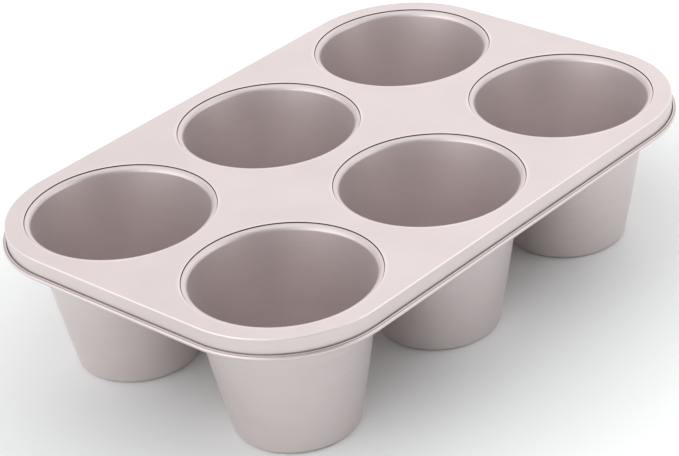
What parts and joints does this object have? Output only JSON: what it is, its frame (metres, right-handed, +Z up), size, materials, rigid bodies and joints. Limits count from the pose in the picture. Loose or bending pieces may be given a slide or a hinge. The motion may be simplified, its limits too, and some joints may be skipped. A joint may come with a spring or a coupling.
{
  "type": "popover pan",
  "caption": "Free-standing baking pan of deep, tapered round cups set in a flat tray with rounded corners and a rolled, wired rim.",
  "frame": {"origin": "on the plane of the cups' feet, under the middle of the tray", "axes": "+X along the longer side of the tray, +Y towards the rear row of cups, +Z up, out of the cups"},
  "size_m": [0.3134, 0.2124, 0.0762],
  "materials": {
    "tray_coating": "satin metallic non-stick coating, champagne",
    "cup_coating": "satin metallic non-stick coating, champagne, faint draw lines",
    "wire_steel": "drawn"
  },
  "bodies": {
    "root": {"tray": "tray_coating", "rim_wire": "wire_steel", "cup_front_left": "cup_coating", "cup_front_middle": "cup_coating", "cup_front_right": "cup_coating", "cup_rear_left": "cup_coating", "cup_rear_middle": "cup_coating", "cup_rear_right": "cup_coating"}
  },
  "joints": []
}
